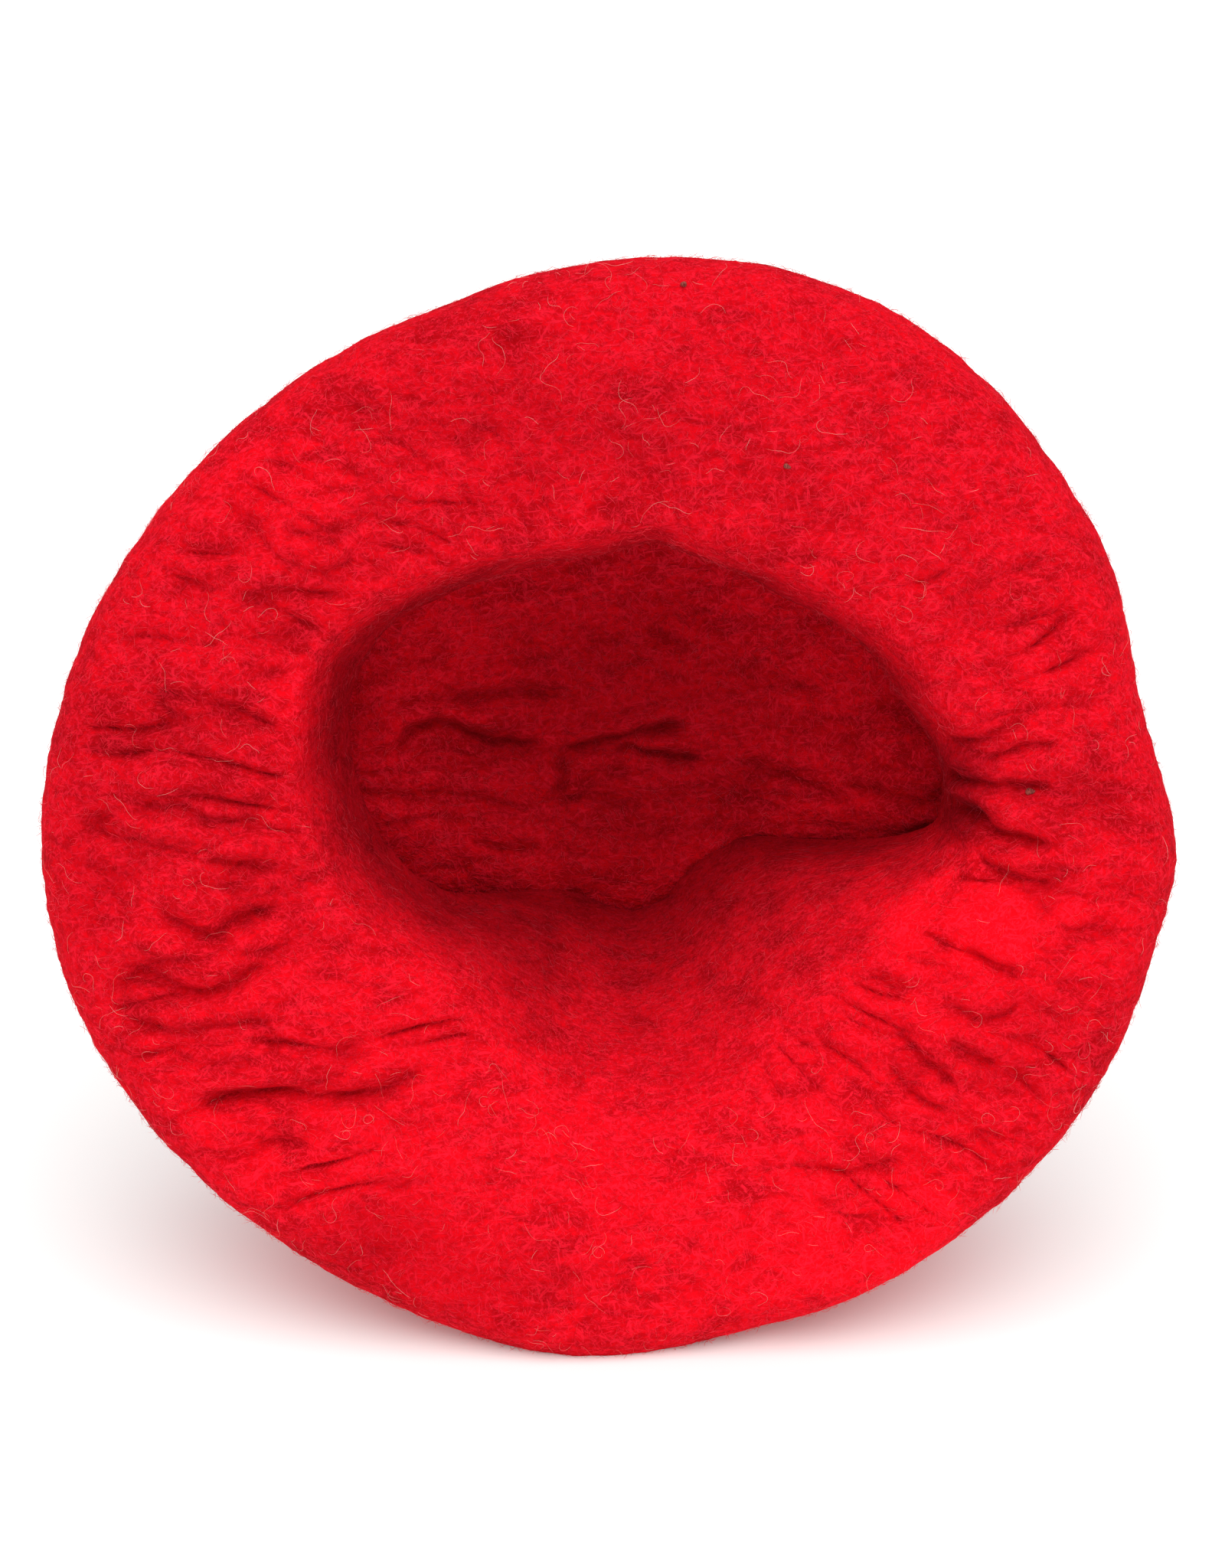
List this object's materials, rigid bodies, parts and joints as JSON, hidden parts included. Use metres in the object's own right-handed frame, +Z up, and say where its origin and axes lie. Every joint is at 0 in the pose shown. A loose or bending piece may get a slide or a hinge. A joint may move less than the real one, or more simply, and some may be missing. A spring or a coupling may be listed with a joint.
{
  "type": "beret",
  "caption": "Soft round wool felt beret with a slumped crown, a rolled edge and an oval head opening, standing on its rim and leaning back.",
  "frame": {"origin": "middle of the base of the bounding box, on the surface that the beret stands on", "axes": "+Z up, head opening faces -Y and tips back by 14 degrees, +X to the right as seen from the opening"},
  "size_m": [0.2912, 0.1118, 0.2778],
  "materials": {
    "felt_crown": "fuzzy red wool felt",
    "felt_underside": "fuzzy red wool felt, puckered",
    "felt_stem": "tightly felted red wool",
    "loose_fibre": "single curly wool fibres",
    "burr": "dull dry plant speck"
  },
  "bodies": {
    "root": {"crown_top": "felt_crown", "crown_side": "felt_crown", "rolled_edge": "felt_underside", "underside": "felt_underside", "opening_lip": "felt_underside", "stem": "felt_stem"}
  },
  "joints": []
}
